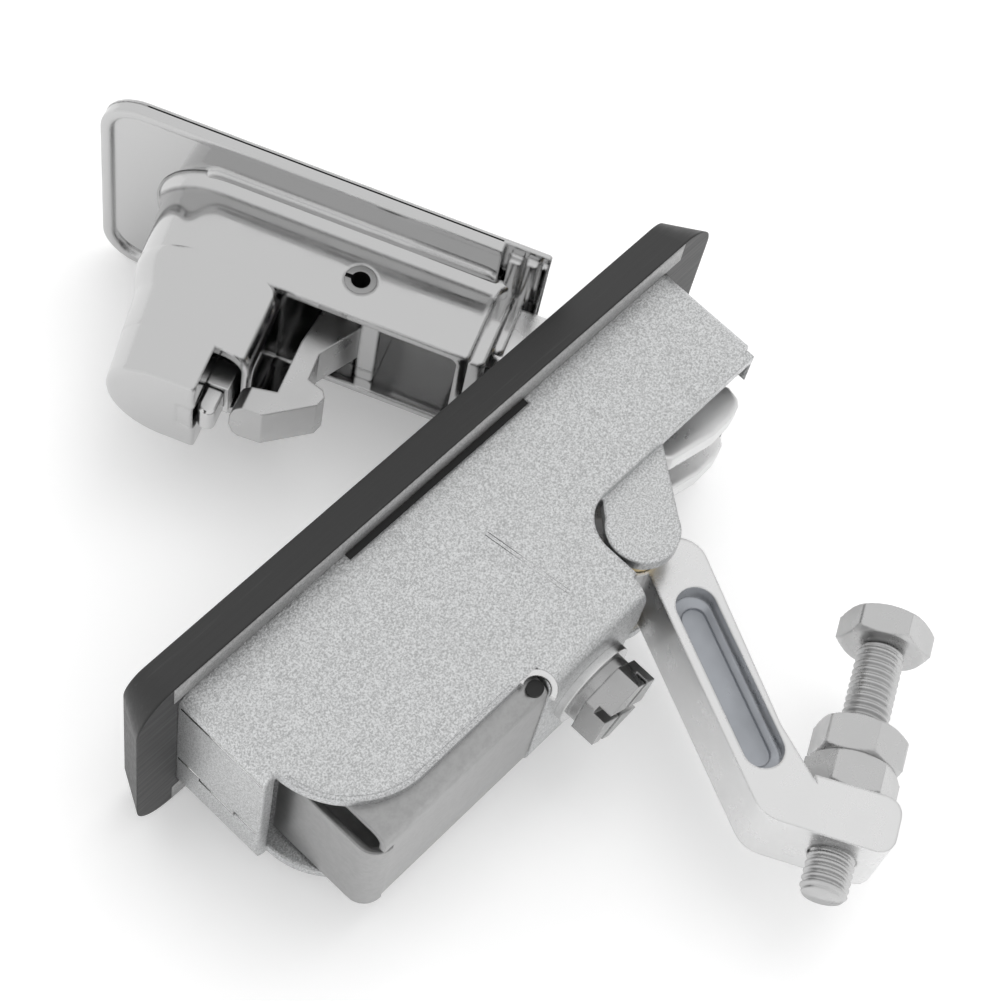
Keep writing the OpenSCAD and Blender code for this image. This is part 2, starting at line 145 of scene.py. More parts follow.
def black_satin(name):
    """A satin black coat with faint streaks along the flange."""
    mat, nt, bsdf = new_mat(name)
    coord = add(nt, "ShaderNodeTexCoord")
    streak = noise(nt, coord, 260.0, 3.0, 0.7, stretch=(0.12, 3.0, 3.0))
    colour = ramp(nt, streak, [(0.35, grey(0.006)), (0.6, grey(0.012)), (0.72, grey(0.03))])
    nt.links.new(colour, bsdf.inputs["Base Color"])
    gloss = ramp(nt, streak, [(0.3, grey(0.38)), (0.7, grey(0.55))])
    nt.links.new(gloss, bsdf.inputs["Roughness"])
    node = add(nt, "ShaderNodeBump", Strength=0.35, Distance=STREAK_DEPTH)
    nt.links.new(streak, node.inputs["Height"])
    nt.links.new(soft_edges(nt, 0.0006), node.inputs["Normal"])
    nt.links.new(node.outputs["Normal"], bsdf.inputs["Normal"])
    return mat


MATS = {
    "bezel_black": black_satin("bezel_black"),
    "zinc_sheet": metal("zinc_sheet", 0.60, 0.40, speckle=0.34, speckle_scale=3300.0, bump=0.6,
                        bump_scale=2600.0, bevel=0.0009, tint=(0.985, 0.995, 1.0)),
    "box_sheet": metal("box_sheet", 0.36, 0.33, speckle=0.06, speckle_scale=700.0, bump=0.12, bevel=0.0006),
    "screw_steel": metal("screw_steel", 0.40, 0.3, bevel=0.0004, mottle=0.08),
    "zinc_bright": metal("zinc_bright", 0.7, 0.25, bevel=0.0003),
    "pin_steel": metal("pin_steel", 0.34, 0.3, bevel=0.0003),
    "bush_brass": metal("bush_brass", 0.75, 0.3, tint=(1, 0.8, 0.45)),
    "handle_chrome": metal("handle_chrome", 0.54, 0.1, bevel=0.0009, mottle=0.04),
    "hook_zinc": metal("hook_zinc", 0.5, 0.3, bevel=0.0005, mottle=0.06),
    "lock_steel": metal("lock_steel", 0.6, 0.25, bevel=0.0003),
    "arm_zinc": metal("arm_zinc", 0.72, 0.3, bevel=0.0008, mottle=0.06, bump=0.08),
    "bolt_zinc": metal("bolt_zinc", 0.52, 0.3, bevel=0.0004, mottle=0.08),
    # darker and bluish: painted shade on the floors of the arm's pockets
    "pocket_painted_shade": metal("pocket_painted_shade", 0.40, 0.34, bevel=0.0005, mottle=0.08, tint=(0.93, 0.97, 1.04)),
    # light grey: painted reflection along the flange's back edges
    "bezel_painted_reflection": metal("bezel_painted_reflection", 0.42, 0.5, speckle=0.25, speckle_scale=2600.0, metallic=0.35),
    # near black: painted shade, put in the slot, the relief hole and the tab's seam and groove
    "painted_shade_black": metal("painted_shade_black", 0.012, 0.7, metallic=0.0),
}

slots = {part["node"]: part["material_slot"] for part in frame["record"]["subparts"]}
for node_name, node in frame["nodes"].items():
    node.data.materials.clear()
    node.data.materials.append(MATS[slots[node_name]])


# Camera, fitted to the edges of the flange, bracket, arm and bolt

IMAGE_PX = 1001.0
FOCAL_PX = 2625.29
CENTRE_PX = (519.771, 504.791)
SENSOR_MM = 36.0
CAM_POS = Vector((165.594, 107.326, 391.999)) * MM
CAM_RIGHT = Vector((-0.679831, 0.722222, 0.127380))
CAM_DOWN = Vector((0.612228, 0.654529, -0.443585))
CAM_FWD = Vector((-0.403741, -0.223578, -0.887134))


def set_camera():
    data = bpy.data.cameras.new("camera")
    camera = bpy.data.objects.new("camera", data)
    bpy.context.scene.collection.objects.link(camera)
    turn = Matrix((CAM_RIGHT, -CAM_DOWN, -CAM_FWD)).transposed()
    camera.matrix_world = Matrix.Translation(CAM_POS) @ turn.to_4x4()
    data.sensor_width = SENSOR_MM
    data.lens = SENSOR_MM * FOCAL_PX / IMAGE_PX
    data.shift_x = -(CENTRE_PX[0] - IMAGE_PX / 2) / IMAGE_PX
    data.shift_y = (CENTRE_PX[1] - IMAGE_PX / 2) / IMAGE_PX
    data.clip_start = 0.01
    data.clip_end = 20.0
    bpy.context.scene.camera = camera
    bpy.context.scene.view_settings.view_transform = "Standard"


set_camera()


# Light and floor

BASE_LIGHT = 0.42
OVERHEAD = {"direction": (-0.30, -0.10, 0.95), "starts": 0.10, "full": 0.95, "strength": 0.72}
KEY_POS, KEY_TARGET, KEY_SIDE, KEY_POWER = (-0.28, -0.02, 0.9), (0, 0.03, 0), 0.5, 1.6
FLOOR_Z, FLOOR_SIDE, FLOOR_GREY, FLOOR_GLOW = -0.0245, 6, 0.86, 0.26


def seen_directly(nt):
    """1 for camera, glossy and transmission rays, which all see the white background."""
    path = nt.nodes.new("ShaderNodeLightPath")
    first = add(nt, "ShaderNodeMath", operation="MAXIMUM")
    nt.links.new(path.outputs["Is Camera Ray"], first.inputs[0])
    nt.links.new(path.outputs["Is Glossy Ray"], first.inputs[1])
    both = add(nt, "ShaderNodeMath", operation="MAXIMUM")
    nt.links.new(first.outputs[0], both.inputs[0])
    nt.links.new(path.outputs["Is Transmission Ray"], both.inputs[1])
    return both.outputs[0]


def world_light():
    """A soft overhead light for diffuse rays, and plain white for the rays that see it directly."""
    world = bpy.data.worlds.new("studio")
    bpy.context.scene.world = world
    world.use_nodes = True
    nt = world.node_tree
    nt.nodes.clear()
    out = nt.nodes.new("ShaderNodeOutputWorld")
    coord = add(nt, "ShaderNodeTexCoord")
    dot = add(nt, "ShaderNodeVectorMath", operation="DOT_PRODUCT")
    nt.links.new(coord.outputs["Generated"], dot.inputs[0])
    dot.inputs[1].default_value = Vector(OVERHEAD["direction"]).normalized()
    spread = add(nt, "ShaderNodeMapRange", interpolation_type="SMOOTHSTEP")
    spread.inputs["From Min"].default_value = OVERHEAD["starts"]
    spread.inputs["From Max"].default_value = OVERHEAD["full"]
    spread.inputs["To Max"].default_value = OVERHEAD["strength"]
    nt.links.new(dot.outputs["Value"], spread.inputs["Value"])
    total = add(nt, "ShaderNodeMath", operation="ADD")
    nt.links.new(spread.outputs["Result"], total.inputs[0])
    total.inputs[1].default_value = BASE_LIGHT
    studio = add(nt, "ShaderNodeBackground", Strength=1.0)
    nt.links.new(total.outputs[0], studio.inputs["Color"])
    white = add(nt, "ShaderNodeBackground", Strength=1.0)
    white.inputs["Color"].default_value = grey(1.0)
    mix = nt.nodes.new("ShaderNodeMixShader")
    nt.links.new(seen_directly(nt), mix.inputs[0])
    nt.links.new(studio.outputs[0], mix.inputs[1])
    nt.links.new(white.outputs[0], mix.inputs[2])
    nt.links.new(mix.outputs[0], out.inputs["Surface"])


def key_lamp():
    data = bpy.data.lights.new("key", "AREA")
    data.shape = "RECTANGLE"
    data.size = KEY_SIDE
    data.size_y = KEY_SIDE
    data.energy = KEY_POWER
    lamp = bpy.data.objects.new("key", data)
    bpy.context.scene.collection.objects.link(lamp)
    lamp.location = KEY_POS
    lamp.rotation_mode = "QUATERNION"
    lamp.rotation_quaternion = (Vector(KEY_TARGET) - Vector(KEY_POS)).to_track_quat("-Z", "Y")
    lamp.visible_glossy = False


def white_floor():
    """A pale floor that takes the object's shadow; a glow lifts it to white where it is lit."""
    bpy.ops.mesh.primitive_plane_add(size=FLOOR_SIDE, location=(0, 0, FLOOR_Z))
    floor = bpy.context.object
    floor.name = "floor"
    mat, nt, bsdf = new_mat("floor")
    bsdf.inputs["Base Color"].default_value = grey(FLOOR_GREY)
    bsdf.inputs["Roughness"].default_value = 0.9
    glow = add(nt, "ShaderNodeEmission", Strength=FLOOR_GLOW)
    lift = nt.nodes.new("ShaderNodeMixShader")
    nt.links.new(seen_directly(nt), lift.inputs[0])
    nt.links.new(glow.outputs[0], lift.inputs[2])
    both = nt.nodes.new("ShaderNodeAddShader")
    nt.links.new(bsdf.outputs[0], both.inputs[0])
    nt.links.new(lift.outputs[0], both.inputs[1])
    out = [n for n in nt.nodes if n.type == "OUTPUT_MATERIAL"][0]
    nt.links.new(both.outputs[0], out.inputs["Surface"])
    floor.data.materials.append(mat)


world_light()
key_lamp()
white_floor()


# Outlines

def ellipse(x, y, rx, ry, steps):
    angles = [2 * math.pi * k / steps for k in range(steps)]
    return [(x + rx * math.cos(a), y + ry * math.sin(a)) for a in angles]


def arc(x, y, r, start, end, steps=8):
    """Points of an arc from start to end, in degrees."""
    angles = [math.radians(start + (end - start) * k / steps) for k in range(steps + 1)]
    return [(x + r * math.cos(a), y + r * math.sin(a)) for a in angles]


def rectangle(x0, y0, x1, y1):
    return [(x0, y0), (x1, y0), (x1, y1), (x0, y1)]


HOLD = 0.12  # mm from an edge, where an extra point keeps the flat face beside it evenly shaded


def round_rect(x0, x1, y0, y1, r, steps=6):
    """Points of a rectangle with rounded corners, r for all or for each corner from x1, y1 on."""
    radii = r if isinstance(r, tuple) else (r, r, r, r)
    corners = ((x1, y1, 0), (x0, y1, 90), (x0, y0, 180), (x1, y0, 270))
    out = []
    for (cx, cy, start), rad in zip(corners, radii):
        ox = cx - rad if cx == x1 else cx + rad
        oy = cy - rad if cy == y1 else cy + rad
        t0, t1 = math.radians(start), math.radians(start + 90)
        out.append((ox + rad * math.cos(t0) + HOLD * math.sin(t0),
                    oy + rad * math.sin(t0) - HOLD * math.cos(t0)))
        out += arc(ox, oy, rad, start, start + 90, steps)
        out.append((ox + rad * math.cos(t1) - HOLD * math.sin(t1),
                    oy + rad * math.sin(t1) + HOLD * math.cos(t1)))
    return out


def inset(points, gap):
    """The outline moved inwards by gap."""
    count = len(points)
    area2 = sum(points[k - 1][0] * points[k][1] - points[k][0] * points[k - 1][1] for k in range(count))
    inward = gap if area2 > 0 else -gap
    out = []
    for k in range(count):
        before, here, after = Vector(points[k - 1]), Vector(points[k]), Vector(points[(k + 1) % count])
        e1, e2 = (here - before).normalized(), (after - here).normalized()
        n1, n2 = Vector((-e1.y, e1.x)), Vector((-e2.y, e2.x))
        mid = n1 + n2
        mid = mid / max(0.25, mid.dot(n1)) if mid.length > 0.3 else n1
        out.append(tuple(here + mid * inward))
    return out


# Solids, each a closed skin in a bmesh

def loft(bm, loops):
    """A closed skin over rings of points that all have the same count."""
    rings = [[bm.verts.new(p) for p in loop] for loop in loops]
    for low, high in zip(rings, rings[1:]):
        for k in range(len(low)):
            j = (k + 1) % len(low)
            bm.faces.new((low[k], low[j], high[j], high[k]))
    bm.faces.new(list(reversed(rings[0])))
    bm.faces.new(rings[-1])


def along(bm, points, axis, start, end):
    """An outline pushed along X (points are Y, Z) or along Z (points are X, Y)."""
    loft(bm, [[(v, p, q) if axis == "x" else (p, q, v) for p, q in points] for v in (start, end)])


def along_n(bm, levels, shape):
    """Lofts shape(inset) points in (s, z) over (n, inset) levels, with holding rings."""
    full = []
    for (n0, q0), (n1, q1) in zip(levels, levels[1:]):
        full.append((n0, q0))
        if n1 - n0 > 1.0:
            for f in (HOLD / (n1 - n0), 1 - HOLD / (n1 - n0)):
                full.append((n0 + (n1 - n0) * f, q0 + (q1 - q0) * f))
    full.append(levels[-1])
    loft(bm, [[(x, n, z) for x, z in shape(gap)] for n, gap in full])


def prism(bm, points, z0, z1, edge):
    """An outline pushed along z, with its two rims broken by a small bevel."""
    small = inset(points, edge)
    levels = ((small, z0), (points, z0 + edge), (points, z1 - edge), (small, z1))
    loft(bm, [[(x, y, z) for x, y in ring] for ring, z in levels])


def solid(points, z0, z1):
    """A plain prism as a bmesh of its own, for cutting."""
    bm = bmesh.new()
    along(bm, points, "z", z0, z1)
    return bm


def link_mesh(name, bm, mat, smooth=True):
    mesh = bpy.data.meshes.new(name)
    bm.normal_update()
    bm.to_mesh(mesh)
    bm.free()
    mesh.materials.append(mat)
    for poly in mesh.polygons:
        poly.use_smooth = smooth
    obj = bpy.data.objects.new(name, mesh)
    bpy.context.scene.collection.objects.link(obj)
    return obj


def place(obj, matrix, body):
    obj.data.transform(matrix)
    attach(obj, body)


SHARP_DEG = 32.0


def finish_piece(name, bm, mat, body, axes, sharp=SHARP_DEG):
    """Closes a bmesh piece: outward faces, hard edges by angle, its material and body."""
    bmesh.ops.recalc_face_normals(bm, faces=bm.faces)
    for edge in bm.edges:
        if len(edge.link_faces) == 2 and edge.calc_face_angle(0.0) > math.radians(sharp):
            edge.smooth = False
    obj = link_mesh(name, bm, MATS[mat])
    place(obj, axes, body)
    return obj


def combine(target, others, operation="DIFFERENCE"):
    """Cuts closed bmesh shapes, in the axes of target's mesh, out of target, or joins them to it."""
    for other in others:
        bmesh.ops.recalc_face_normals(other, faces=other.faces)
        mesh = bpy.data.meshes.new("other")
        other.to_mesh(mesh)
        other.free()
        tool = bpy.data.objects.new("other", mesh)
        bpy.context.scene.collection.objects.link(tool)
        mod = target.modifiers.new("combine", "BOOLEAN")
        mod.operation = operation
        mod.solver = "EXACT"
        mod.object = tool
        graph = bpy.context.evaluated_depsgraph_get()
        done = bpy.data.meshes.new_from_object(target.evaluated_get(graph))
        target.modifiers.clear()
        target.data = done
        bpy.data.objects.remove(tool)
    bm = bmesh.new()
    bm.from_mesh(target.data)
    if operation == "UNION":
        bmesh.ops.dissolve_limit(bm, angle_limit=math.radians(0.6), verts=bm.verts, edges=bm.edges)
    for edge in bm.edges:
        if len(edge.link_faces) == 2:
            edge.smooth = edge.calc_face_angle(0.0) < math.radians(SHARP_DEG)
    for face in bm.faces:
        face.smooth = True
    bm.to_mesh(target.data)
    bm.free()


# Frames of the part, the handle, the arm and the bolt, from the joints in the record

def basis(x_axis, y_axis, z_axis):
    return Matrix((Vector(x_axis), Vector(y_axis), Vector(z_axis))).transposed().to_4x4()


joints = {joint["name"]: joint for joint in frame["record"]["behaviour"]["joints"]}
ACROSS = (0, 0, 1)
OWN_AXES = Matrix.Identity(4)
MM_AXES = Matrix.Scale(MM, 4)

# Handle: s along the plate from the hinge end, n away from the plate, z across, in mm
HINGE_S, HINGE_N = -14.8, 13.95
HINGE = Vector(joints["handle_swing"]["pos_m"])
OPEN_ANGLE = math.radians(joints["handle_swing"]["range_deg"][1])
S_AXIS = Vector((math.cos(OPEN_ANGLE), -math.sin(OPEN_ANGLE), 0.0))
N_AXIS = Vector((math.sin(OPEN_ANGLE), math.cos(OPEN_ANGLE), 0.0))
HANDLE_AXES = (Matrix.Translation(HINGE - (S_AXIS * HINGE_S + N_AXIS * HINGE_N) * MM)
               @ basis(S_AXIS, N_AXIS, ACROSS) @ MM_AXES)

# Arm: origin at its bend, y along its long leg away from the pivot
ARM_LEAN = math.radians(-24)
ARM_BEND = (-0.3, 49.4, 0)
ARM_AXES = (Matrix.Translation(Vector(joints["arm_swing"]["pos_m"])) @ Matrix.Rotation(ARM_LEAN, 4, "Z")
            @ Matrix.Translation(Vector(ARM_BEND) * MM) @ MM_AXES)

# Bolt: +Z from the foot towards the head, in metres
FOOT_ANGLE = ARM_LEAN + math.radians(141.2)
FOOT_DIR = Vector((math.cos(FOOT_ANGLE), math.sin(FOOT_ANGLE), 0.0))
BOLT_DIR = Vector((-math.sin(FOOT_ANGLE), math.cos(FOOT_ANGLE), 0.0))
BOLT_FROM_BEND = 13.4 * MM
BOLT_AXES = (Matrix.Translation(ARM_AXES.translation + FOOT_DIR * BOLT_FROM_BEND)
             @ basis(FOOT_DIR, ACROSS, BOLT_DIR))


# Adjusting bolt and nuts

FOOT_T, BOLT_OUT, BOLT_LEN, HEAD_H, NUT_H, HEX_AF = (v * MM for v in (9.8, 6.9, 45.0, 5.3, 6.5, 14.0))
BOLT_R, PITCH, THREAD_DEPTH, TIP_CHAMFER, NUT_BORE_R = (v * MM for v in (4.0, 1.25, 0.68, 0.8, 3.6))
HEX_CHAMFER = math.tan(math.radians(30))


def thread_radius(z, turn):
    """Radius at height z and turn of the way round: a flat crest, flanks and a narrow root."""
    phase = (z / PITCH - turn) % 1.0
    cut = min(1.0, max(0.0, (abs(phase - 0.5) - 0.08) / 0.34))
    radius = BOLT_R - THREAD_DEPTH * cut
    end = min(z, BOLT_LEN - z)
    if end < TIP_CHAMFER:
        radius = min(radius, BOLT_R - THREAD_DEPTH * (1 - end / TIP_CHAMFER))
    return radius


def bolt_thread():
    around, levels = 40, int(BOLT_LEN / PITCH * 10)
    rings = []
    for i in range(levels + 1):
        z = BOLT_LEN * i / levels
        ring = []
        for k in range(around):
            a = 2 * math.pi * k / around
            r = thread_radius(z, k / around)
            ring.append((r * math.cos(a), r * math.sin(a), z))
        rings.append(ring)
    bm = bmesh.new()
    loft(bm, rings)
    thread = link_mesh("bolt_thread", bm, MATS["bolt_zinc"])
    place(thread, BOLT_AXES @ Matrix.Translation((0, 0, -BOLT_OUT)), "arm")
    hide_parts("adjusting_bolt")


def hexagon(name, z0, z1, angle, bore=0.0, around=96):
    """A hexagon along Z whose corners are turned down by a 30 degree chamfer."""
    face_r = HEX_AF / 2 * 0.97
    drop = (HEX_AF / math.sqrt(3) - face_r) * HEX_CHAMFER
    bm = bmesh.new()

    def ring(z, radius):
        angles = [2 * math.pi * k / around for k in range(around)]
        return [bm.verts.new((radius(a) * math.cos(a), radius(a) * math.sin(a), z)) for a in angles]

    def flat_r(a, cap):
        side = (a - angle) % (math.pi / 3)
        return min(HEX_AF / 2 / math.cos(side - math.pi / 6), face_r + cap / HEX_CHAMFER)

    shares = (0.0, 0.15, 0.35, 0.6, 1.0)
    levels = [ring(z0 + drop * q, lambda a: flat_r(a, drop * q)) for q in shares]
    levels += [ring(z1 - drop * q, lambda a: flat_r(a, drop * q)) for q in reversed(shares)]
    if bore:
        inner = [ring(z, lambda a: bore) for z in (z0, z1)]
        levels = [inner[0]] + levels + [inner[1], inner[0]]
    for low, high in zip(levels, levels[1:]):
        for k in range(around):
            j = (k + 1) % around
            bm.faces.new((low[k], low[j], high[j], high[k]))
    if not bore:
        bm.faces.new(list(reversed(levels[0])))
        bm.faces.new(levels[-1])
    obj = link_mesh(name, bm, MATS["bolt_zinc"], smooth=False)
    place(obj, BOLT_AXES, "arm")
    return obj


def bolt_set():
    bolt_thread()
    head_z = BOLT_LEN - BOLT_OUT
    hexagon("bolt_head", head_z, head_z + HEAD_H, math.radians(12))
    for node, z, angle in (("upper_nut", FOOT_T + NUT_H, 20), ("lower_nut", FOOT_T, 0)):
        nut = hexagon(node + "_hex", z, z + NUT_H, math.radians(angle), bore=NUT_BORE_R)
        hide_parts(node)


# Handle plate: front slab, rim round a sunk floor, pedestal and the ribs at the hinge end

PLATE_LEN, PLATE_HALF, PLATE_R = 80.4, 24.0, 8
PEDESTAL_HALF = 15.4
# Each profile lists (n, inset) from the front of the plate towards its back
SLAB_PROFILE = ((-3.05, 0.9), (-2.9, 0.35), (-2.55, 0.0), (-1.9, 0.0), (-1.9, 1.0))
RIM_PROFILE = ((-2.2, 0.0), (-0.35, 0.0), (-0.1, 0.12), (0.0, 0.4), (0.0, 1.7), (-0.12, 1.95), (-0.95, 2.2))
PEDESTAL_PROFILE = ((-1.0, -0.15), (-0.35, 0.0), (-0.1, 0.25), (0.0, 0.5))
# Ribs: s of both sides, top and half width
PLATE_RIBS = ((4.6, 6.9, -0.3, 21.4), (1.9, 3.9, -0.7, 21.8), (0.2, 1.2, -0.9, 22.0))


def plate_outline(start, q):
    radii = (PLATE_R - q, 0.5, 0.5, PLATE_R - q)
    return round_rect(start, PLATE_LEN - q, -PLATE_HALF + q, PLATE_HALF - q, radii, 10)


def handle_plate():
    bm = bmesh.new()
    along_n(bm, SLAB_PROFILE, lambda q: plate_outline(q * 0.4, q))
    along_n(bm, RIM_PROFILE, lambda q: plate_outline(8 + q * 0.1, q))
    along_n(bm, PEDESTAL_PROFILE,
            lambda q: round_rect(7.2 + q, 61 - q, -PEDESTAL_HALF + q, PEDESTAL_HALF - q, 3.0))
    for s0, s1, top, half in PLATE_RIBS:
        along_n(bm, ((-2.0, 0.0), (top - 0.4, 0.0), (top - 0.1, 0.15), (top, 0.45)),
                lambda q: round_rect(s0 + q, s1 - q, -half + q, half - q, 0.3, 3))
    plate = finish_piece("handle_plate", bm, "handle_chrome", "handle", HANDLE_AXES)
    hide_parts("handle")


# Handle body and nose: one drafted form, half round at its outer end

NOSE_TIP, NOSE_STEP, NOSE_AXIS = 37.7, 28.9, 52.8
NOSE_SHOULDER, NOSE_SPREAD, NOSE_SLANT = 20.4, 5.4, 0.084
BODY_R, BODY_START = 12.6, 6.9
CAVITY_S0, CAVITY_S1, CAVITY_HALF, CAVITY_R = 9, 45, 10.6, 1.6
HOOK_PIN_S, HOOK_PIN_N, SPRING_PIN_BORE_R = 29.3, 8.0, 2.78
FAR_WALL_S0, FAR_WALL_S1, FAR_WALL_Z0, FAR_WALL_Z1 = 35.5, 46.0, -12.3, -10.9
# The profiles list (n, how far the form is drawn in)
BODY_PROFILE = ((-0.8, -1.5), (0.0, -1.1), (0.25, -0.8), (0.6, -0.5), (1.1, -0.22), (1.8, -0.05), (2.4, 0.0),
                (2.5, 0.0), (14.2, 0.03), (14.35, 0.05), (14.75, 0.18), (15.0, 0.5))
NECK_LEVELS = (13.0, 13.5, 14.1, 14.9, 15.7, 16.6, 17.5, 18.4, 19.2, 19.8, 20.3, 20.42, 20.55, 21.6, 23, 24.5,
               26, 27.4, 28.4)
TIP_PROFILE = ((27.0, 0.04), (28.0, 0.0), (29.5, 0.0), (31, 0.0), (33, 0.0), (35, 0.0), (36.6, 0.0),
               (36.75, 0.0), (37.1, 0.1), (37.45, 0.35), (37.64, 0.7), (37.7, 1.1))


def nose_r(n):
    """Half width at height n: drafted, and spreading below the shoulder to meet the body."""
    r = 10.14 + 2.16 * (40.7 - n) / 44.7
    if n < NOSE_SHOULDER:
        f = min(1.0, (NOSE_SHOULDER - n) / NOSE_SPREAD)
        r += (BODY_R - r) * (0.45 * f + 0.55 * f * f * (3 - 2 * f))
    return r


def nose_outline(n, r, inner, corner):
    """Half round at the outer end, flat sides and a rounded inner end, at height n."""
    centre = NOSE_AXIS + (NOSE_TIP - n) * NOSE_SLANT
    hold = 0.15
    flat = inner + corner
    out = [(centre - hold, r)] + arc(centre, 0, r, 90, -90, 48)
    out += [(centre - hold, -r), (flat + hold, -r)]
    out += arc(flat, corner - r, corner, 270, 180)
    out += arc(flat, r - corner, corner, 180, 90)
    out.append((flat + hold, r))
    return [(x, n, z) for x, z in out]


def handle_body():
    """The hollow body, with the bore for the spring pin."""
    bm = bmesh.new()
    loft(bm, [nose_outline(n, BODY_R - q, BODY_START + q, 0.9) for n, q in BODY_PROFILE])
    body = finish_piece("handle_body", bm, "handle_chrome", "handle", OWN_AXES)
    hollow = bmesh.new()
    along_n(hollow, ((2.0, 0.6), (2.6, 0.0), (16.0, 0.0)),
            lambda q: round_rect(CAVITY_S0 + q, CAVITY_S1 - q, q - CAVITY_HALF, CAVITY_HALF - q, CAVITY_R, 4))
    pin_cut = BODY_R + 1.4
    bore = solid(ellipse(HOOK_PIN_S, HOOK_PIN_N, SPRING_PIN_BORE_R, SPRING_PIN_BORE_R, 40), -pin_cut, pin_cut)
    combine(body, [hollow, bore])
    body.data.transform(HANDLE_AXES)


def handle_ribs():
    """Two ribs inside the body and two at its hinge end."""
    bm = bmesh.new()
    along_n(bm, ((1.5, 0.0), (12.6, 0.0), (13.0, 0.3)),
            lambda q: round_rect(23.4 + q, 27.0 - q, -10.8, 10.8, 0.8, 3))
    along_n(bm, ((1.5, 0.0), (10.6, 0.0), (11.0, 0.3)),
            lambda q: round_rect(27.6 + q, 31.6 - q, -10.8, -5.4 - q, 0.8, 3))
    along_n(bm, ((-1.9, 0.0), (14.2, 0.0), (14.8, 0.5)),
            lambda q: round_rect(4.3 + q, 7.4, -11.6 + q, 11.6 - q, 0.7, 4))
    along_n(bm, ((-1.9, 0.0), (10.0, 0.0), (10.6, 0.5)),
            lambda q: round_rect(2.4 + q, 4.8, -10.6 + q, 10.6 - q, 0.5, 4))
    finish_piece("handle_ribs", bm, "handle_chrome", "handle", HANDLE_AXES)


def handle_nose():
    """The nose up to its step, hollow inside and open towards the hook."""
    inner, corner = 40.4, 5.0
    loops = []
    for n in NECK_LEVELS:
        proud = 0.04 if n > 14 else (n - 13.9) * 0.12
        loops.append(nose_outline(n, nose_r(n) + proud, inner, corner))
    loops.append(nose_outline(NOSE_STEP - 0.25, nose_r(28.6) - 0.05, inner + 0.05, corner))
    loops.append(nose_outline(NOSE_STEP, nose_r(NOSE_STEP) - 0.3, inner + 0.3, corner - 0.2))
    bm = bmesh.new()
    loft(bm, loops)
    nose = finish_piece("handle_nose", bm, "handle_chrome", "handle", OWN_AXES)
    hollow = bmesh.new()
    along_n(hollow, ((13.0, 0.0), (30.0, 0.0)),
            lambda q: round_rect(42.0, 50, -8.6, 8.6, (0.5, 3.6, 3.6, 0.5), 8))
    window = solid(rectangle(30, 3, 44.2, 15.6), -CAVITY_HALF, CAVITY_HALF)
    combine(nose, [hollow, window])
    nose.data.transform(HANDLE_AXES)


def handle_nose_tip():
    """The tip above the step, slotted for the lock bolt's travel."""
    bm = bmesh.new()
    loft(bm, [nose_outline(n, nose_r(n) - q, 46.9 + q * 0.5, 0.35) for n, q in TIP_PROFILE])
    tip = finish_piece("handle_nose_tip", bm, "handle_chrome", "handle", OWN_AXES)
    hollow = solid(rectangle(46.0, 26.0, 60.5, 33.6), -4.8, 4.8)
    slot = solid(rectangle(45.0, 31.8, 50.2, 37.5), -3.3, 3.3)
    combine(tip, [hollow, slot])
    tip.data.transform(HANDLE_AXES)


def handle_far_wall():
    bm = bmesh.new()
    along_n(bm, ((14.5, 0.0), (26.5, 0.0), (27.0, 0.4)),
            lambda q: round_rect(FAR_WALL_S0 + q, FAR_WALL_S1, FAR_WALL_Z0, FAR_WALL_Z1, 0.3, 3))
    finish_piece("handle_far_wall", bm, "handle_chrome", "handle", HANDLE_AXES)


# Hinge lugs and crank bosses

LUG_Z0, LUG_Z1, LUG_EYE_R, LUG_BORE_R = 5.0, 9.5, 6.4, 2.55
CUT_HALF = 12  # half length of a cutting rod, longer than what it bores
# The lug's outline after the eye, from the hinge
LUG_TAIL = ((-9, 6), (-15.8, 3.2), (-20.9, -4.2), (-22.6, -8.6), (-23, -11.15), (-22.4, -12.45),
            (-20.4, -13.9), (19, -13.9), (19, -3), (6.2, -0.6))
CRANK_LEN, CRANK_ANGLE = 8, math.radians(3.3)
BOSS_R, BOSS_Z0, BOSS_Z1 = 3.2, 2.8, 5.2


def crank_bosses():
    s = HINGE_S + CRANK_LEN * math.cos(CRANK_ANGLE)
    n = HINGE_N + CRANK_LEN * math.sin(CRANK_ANGLE)
    outline = ellipse(s, n, BOSS_R, BOSS_R, 32)
    bm = bmesh.new()
    prism(bm, outline, BOSS_Z0, BOSS_Z1, 0.2)
    prism(bm, outline, -BOSS_Z1, -BOSS_Z0, 0.2)
    finish_piece("handle_crank_bosses", bm, "arm_zinc", "handle", HANDLE_AXES)


def hinge_lug(name, z0, z1):
    outline = arc(HINGE_S, HINGE_N, LUG_EYE_R, -60, 90, 15)
    outline += [(HINGE_S + x, HINGE_N + y) for x, y in LUG_TAIL]
    bm = bmesh.new()
    prism(bm, outline, z0, z1, 0.35)
    lug = finish_piece(name, bm, "arm_zinc", "handle", OWN_AXES)
    combine(lug, [solid(ellipse(HINGE_S, HINGE_N, LUG_BORE_R, LUG_BORE_R, 40), -CUT_HALF, CUT_HALF)])
    lug.data.transform(HANDLE_AXES)


# Hook lever: neck from the spring pin, broad head whose outer end is rounded

HOOK_OUTLINE = ((25.0, 9.5), (31.5, 20.0), (31.4, 25.3), (28.3, 26.3), (27.6, 27.4), (28.2, 29.3),
                (35.9, 34.8), (39.4, 35.0), (39.7, 30.5), (35.2, 29.7), (35.2, 19.0), (33.7, 8.5))
# Where the head ends in s, at each z
HOOK_REACH = ((-5.0, 40.0), (-4.2, 41.0), (-2.0, 41.7), (1.0, 41.6), (3.4, 40.9), (4.7, 39.8), (5.0, 39.4))
HOOK_END_FROM = 39
HOOK_EYE_R, HOOK_BORE_R, HOOK_HALF = 4.6, 2.8, 5.0


